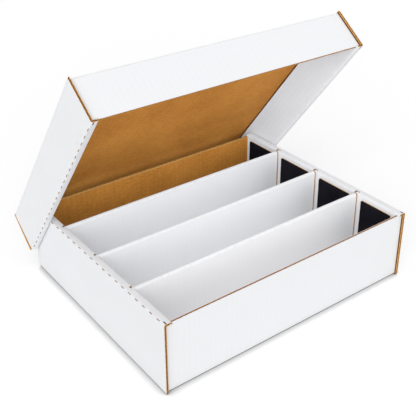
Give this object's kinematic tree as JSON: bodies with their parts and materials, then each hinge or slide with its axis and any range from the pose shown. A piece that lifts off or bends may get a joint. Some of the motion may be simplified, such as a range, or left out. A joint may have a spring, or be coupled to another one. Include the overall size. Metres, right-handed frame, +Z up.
{
  "type": "card storage box",
  "caption": "Corrugated board card box with long rows between dividers, foam end pads, rolled side walls and a loose lid tipped open on its back wall.",
  "frame": {"origin": "middle of the base tray's underside", "axes": "+X along the card rows, +Y from the front wall to the back wall that the lid leans on, +Z up"},
  "size_m": [0.418, 0.3704, 0.3435],
  "materials": {
    "white_board": "white clay-coated liner on corrugated board, matt",
    "kraft_board": "bare brown kraft liner on corrugated board, matt",
    "black_foam": "thin black sheet foam, matt"
  },
  "bodies": {
    "base": {"base_floor": "kraft_board", "base_front_wall": "white_board", "base_back_wall": "white_board", "base_left_wall": "white_board", "base_right_wall": "white_board", "base_dust_flap_front_left": "white_board", "base_dust_flap_front_right": "white_board", "base_dust_flap_back_left": "white_board", "base_dust_flap_back_right": "white_board", "divider_1": "white_board", "divider_2": "white_board", "divider_3": "white_board", "end_pad_1": "black_foam", "end_pad_2": "black_foam", "end_pad_3": "black_foam", "end_pad_4": "black_foam"},
    "lid": {"lid_top": "kraft_board", "lid_front_wall": "white_board", "lid_back_wall": "white_board", "lid_left_wall": "white_board", "lid_right_wall": "white_board", "lid_dust_flap_front_left": "white_board", "lid_dust_flap_front_right": "white_board", "lid_dust_flap_back_left": "white_board", "lid_dust_flap_back_right": "white_board"}
  },
  "joints": [
    {"name": "lid_tilt", "type": "hinge", "parent": "base", "child": "lid", "pos_m": [0, 0.1535, 0.05185], "axis": [1, 0, 0], "range_deg": [0, 52.4]}
  ]
}
